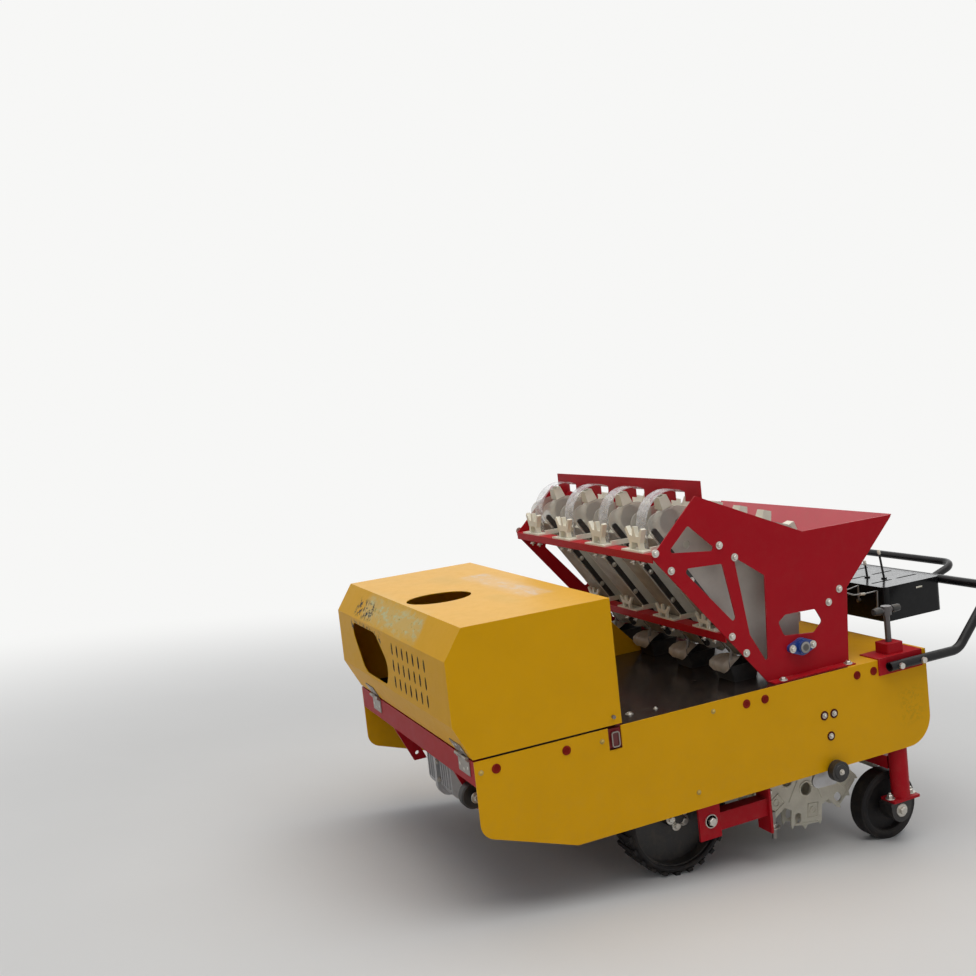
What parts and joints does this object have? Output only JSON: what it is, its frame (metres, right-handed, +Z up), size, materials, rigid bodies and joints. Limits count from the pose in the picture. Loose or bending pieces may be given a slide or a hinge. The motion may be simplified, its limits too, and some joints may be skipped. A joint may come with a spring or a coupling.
{
  "type": "walk-behind garlic planter",
  "caption": "Self-propelled walk-behind garlic planter: engine under a hinged hood, cup-chain seed unit and hopper, planting wheels, drive wheels and a rear handlebar",
  "frame": {"origin": "centre of the footprint of the whole machine's bounding box, on the ground", "axes": "+X forward (the longest extent), +Y to the machine's left, +Z up"},
  "size_m": [1.9056, 1.0206, 1.1033],
  "materials": {
    "yellow_paint": "gloss enamel, scuffed",
    "red_paint": "gloss enamel",
    "light_red_paint": "gloss enamel, sun-faded",
    "dark_frame_paint": "satin paint, dusty",
    "black_paint": "satin powder coat",
    "zinc_steel": "zinc plated",
    "bare_steel": "turned, oiled",
    "engine_alloy": "as cast",
    "black_iron": "black paint",
    "blue_iron": "blue paint",
    "planting_steel": "pale, dusty",
    "pale_sheet": "pale grey paint, dusty",
    "chute_plastic": "pale, translucent, dusty",
    "white_plastic": "moulded",
    "black_plastic": "moulded",
    "clear_plastic": "bent clear sheet",
    "drive_rubber": "dusty rubber",
    "wheel_rubber": "solid rubber"
  },
  "bodies": {
    "chassis": {"side_panel_left": "yellow_paint", "side_panel_right": "yellow_paint", "main_frame": "dark_frame_paint", "front_beam": "red_paint", "hood_fittings": "zinc_steel", "engine": "engine_alloy", "gearbox": "engine_alloy", "belt_pulley": "bare_steel", "deck_plate": "black_paint", "rear_deck": "yellow_paint", "chain_guard": "yellow_paint", "seed_plate_left": "red_paint", "seed_plate_right": "red_paint", "hopper_front_wall": "red_paint", "hopper_floor": "pale_sheet", "chute_fronts": "chute_plastic", "tie_bar": "zinc_steel", "cam_plates": "engine_alloy", "console_levers": "black_paint", "hopper_back_wall": "light_red_paint", "seed_bars": "light_red_paint", "seed_shafts": "bare_steel", "flange_bearings": "blue_iron", "row_housings": "chute_plastic", "row_rails": "black_plastic", "seed_clamps": "white_plastic", "seed_chain_1": "white_plastic", "seed_chain_2": "white_plastic", "seed_chain_3": "white_plastic", "seed_chain_4": "white_plastic", "row_covers": "clear_plastic", "funnels": "black_plastic", "planting_arms": "red_paint", "rear_posts": "red_paint", "rear_hubs": "black_iron", "rear_blocks": "red_paint", "depth_screws": "bare_steel", "handlebar": "black_paint", "console": "black_paint"},
    "hood_lid": {"hood": "yellow_paint", "hood_hardware": "zinc_steel"},
    "drive_set": {"drive_axle": "bare_steel", "drive_tyre_left": "drive_rubber", "drive_tyre_right": "drive_rubber"},
    "planting_set": {"planting_shaft": "black_iron", "planting_wheel_1": "planting_steel", "planting_wheel_2": "planting_steel", "planting_wheel_3": "planting_steel", "planting_wheel_4": "planting_steel"},
    "rear_roll_left": {"rear_wheel_left": "wheel_rubber"},
    "rear_roll_right": {"rear_wheel_right": "wheel_rubber"}
  },
  "joints": [
    {"name": "hood_hinge", "type": "hinge", "parent": "chassis", "child": "hood_lid", "pos_m": [0.88206, 0, 0.41783], "axis": [0, 1, 0], "range_deg": [0, 80]},
    {"name": "drive_axle_spin", "type": "hinge", "parent": "chassis", "child": "drive_set", "pos_m": [0.221, 0, 0.164], "axis": [0, 1, 0], "continuous": true},
    {"name": "planting_spin", "type": "hinge", "parent": "chassis", "child": "planting_set", "pos_m": [-0.25638, 0, 0.26476], "axis": [0, 1, 0], "continuous": true},
    {"name": "rear_wheel_left_spin", "type": "hinge", "parent": "chassis", "child": "rear_roll_left", "pos_m": [-0.52741, 0.376, 0.105], "axis": [0, 1, 0], "continuous": true},
    {"name": "rear_wheel_right_spin", "type": "hinge", "parent": "chassis", "child": "rear_roll_right", "pos_m": [-0.52741, -0.376, 0.105], "axis": [0, 1, 0], "continuous": true}
  ]
}
